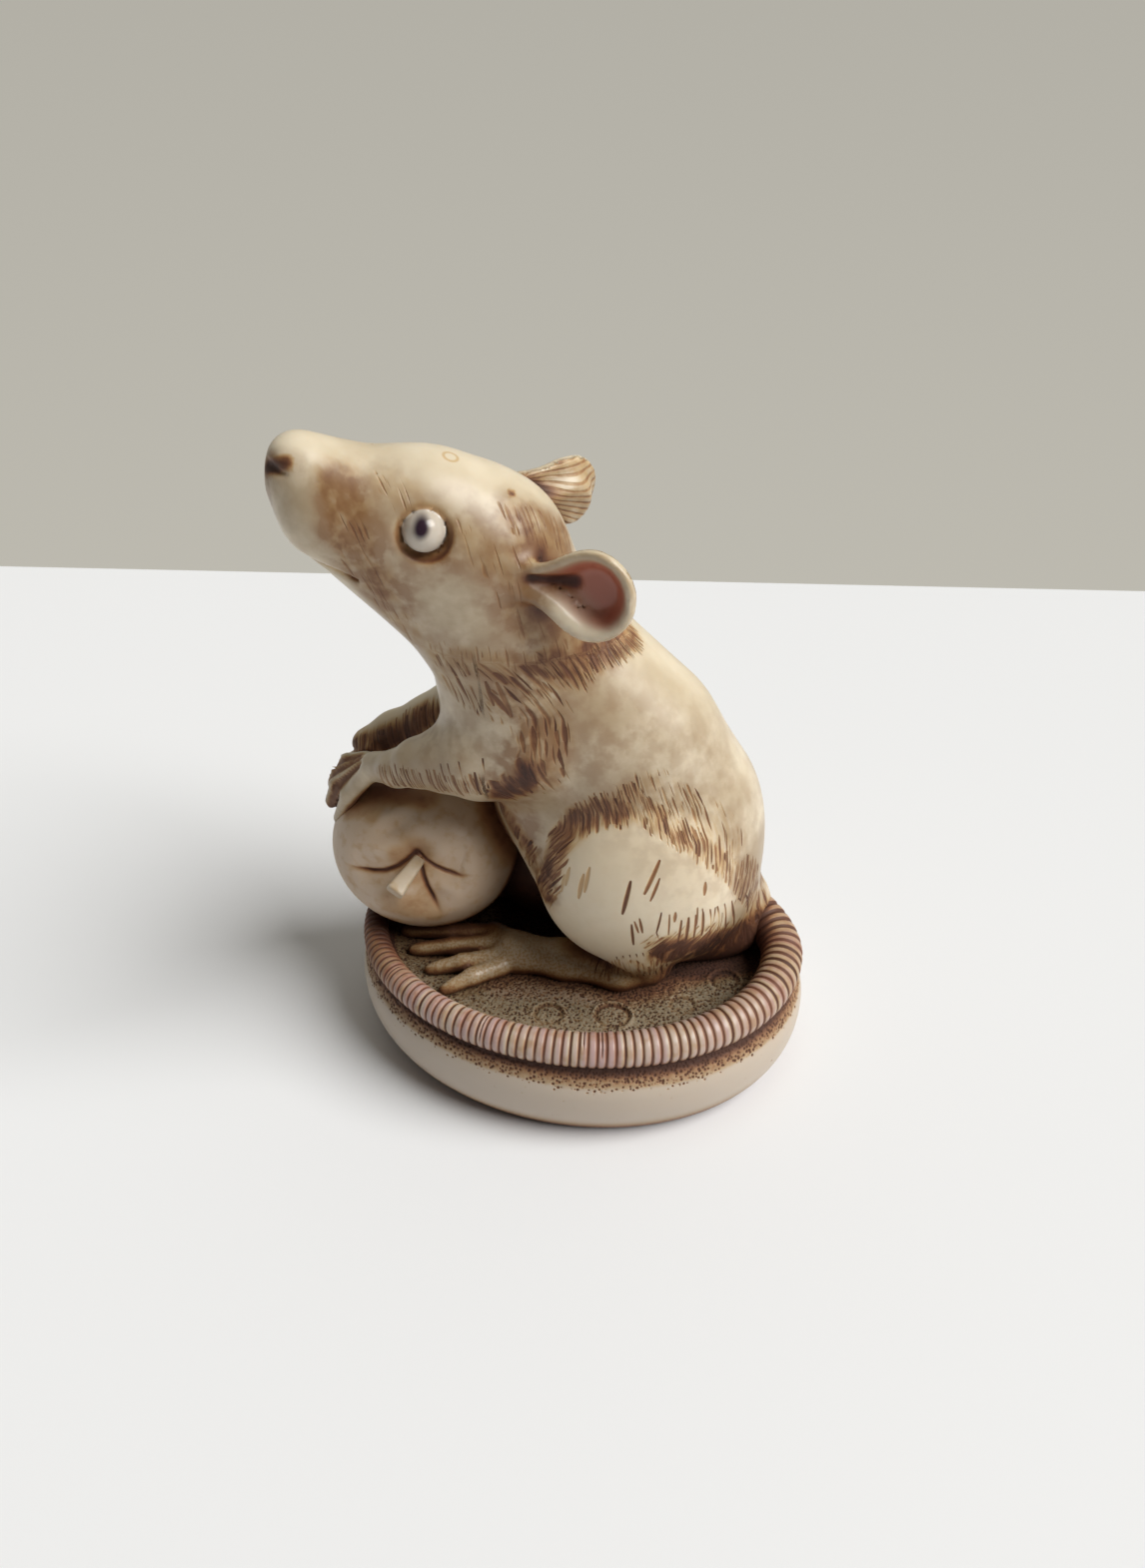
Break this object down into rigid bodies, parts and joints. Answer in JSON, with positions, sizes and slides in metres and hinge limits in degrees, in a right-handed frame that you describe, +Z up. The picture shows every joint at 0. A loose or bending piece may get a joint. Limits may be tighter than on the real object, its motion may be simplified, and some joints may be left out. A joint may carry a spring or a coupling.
{
  "type": "mouse figurine",
  "caption": "Small cast figurine of a mouse that sits up on an oval pebble, holds a round fruit and lays its ringed tail round the rim.",
  "frame": {"origin": "centre of the pebble's flat underside", "axes": "+Z up; the pebble's long axis lies along X and the mouse looks towards -X"},
  "size_m": [0.0539, 0.0412, 0.0693],
  "materials": {
    "painted_resin": "satin, stained ivory"
  },
  "bodies": {
    "root": {"mouse_figurine": "painted_resin"}
  },
  "joints": []
}
